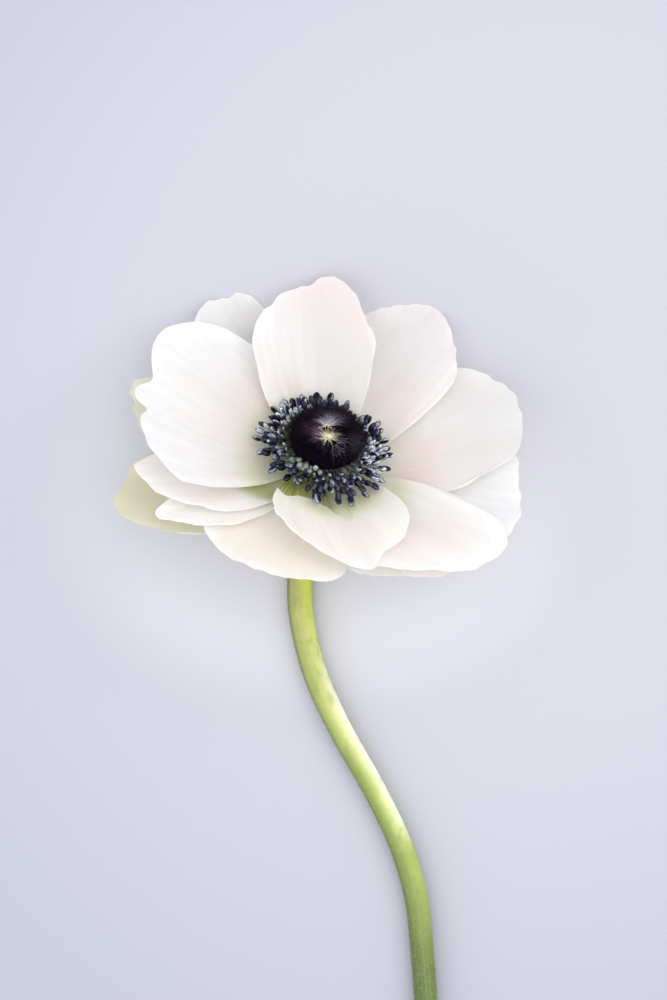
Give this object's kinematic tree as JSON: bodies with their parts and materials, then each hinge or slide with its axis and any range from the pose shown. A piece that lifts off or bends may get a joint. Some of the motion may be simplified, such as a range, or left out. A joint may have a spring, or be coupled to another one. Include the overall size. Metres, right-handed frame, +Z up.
{
  "type": "anemone flower",
  "caption": "Cut white anemone lying down: layered waved petals, a ring of dark stamens round a dark velvety dome, and a bare green stem in a gentle curve.",
  "frame": {"origin": "on the table, at the middle of the whole flower's footprint", "axes": "+Z up from the table, +Y from the cut end of the stem towards the bloom, +X to the right seen from above with the bloom away from the viewer"},
  "size_m": [0.0822, 0.1844, 0.0399],
  "materials": {
    "petal": "thin satin white petal with a faint pink blush and fine lengthwise veins",
    "stem": "downy yellow-green stalk, darker along one side",
    "pistil": "near-black purple velvet of packed hairy carpels with cream tufts",
    "outer_stamens": "matt dark blue anthers on pale lilac and yellow-green filaments",
    "inner_stamens": "matt grey-green anthers on pale filaments"
  },
  "bodies": {
    "root": {"stem": "stem", "pistil": "pistil", "outer_stamens": "outer_stamens", "inner_stamens": "inner_stamens", "petal_inner_back": "petal", "petal_inner_front": "petal", "petal_upper_left": "petal", "petal_upper_front_right": "petal", "petal_middle_back_right": "petal", "petal_middle_left": "petal", "petal_lower_right": "petal", "petal_lower_back_left": "petal", "petal_lower_front_left": "petal", "petal_outer_right": "petal", "petal_outer_front": "petal", "petal_outer_left": "petal", "petal_outer_front_right": "petal", "petal_outer_front_left": "petal"}
  },
  "joints": []
}
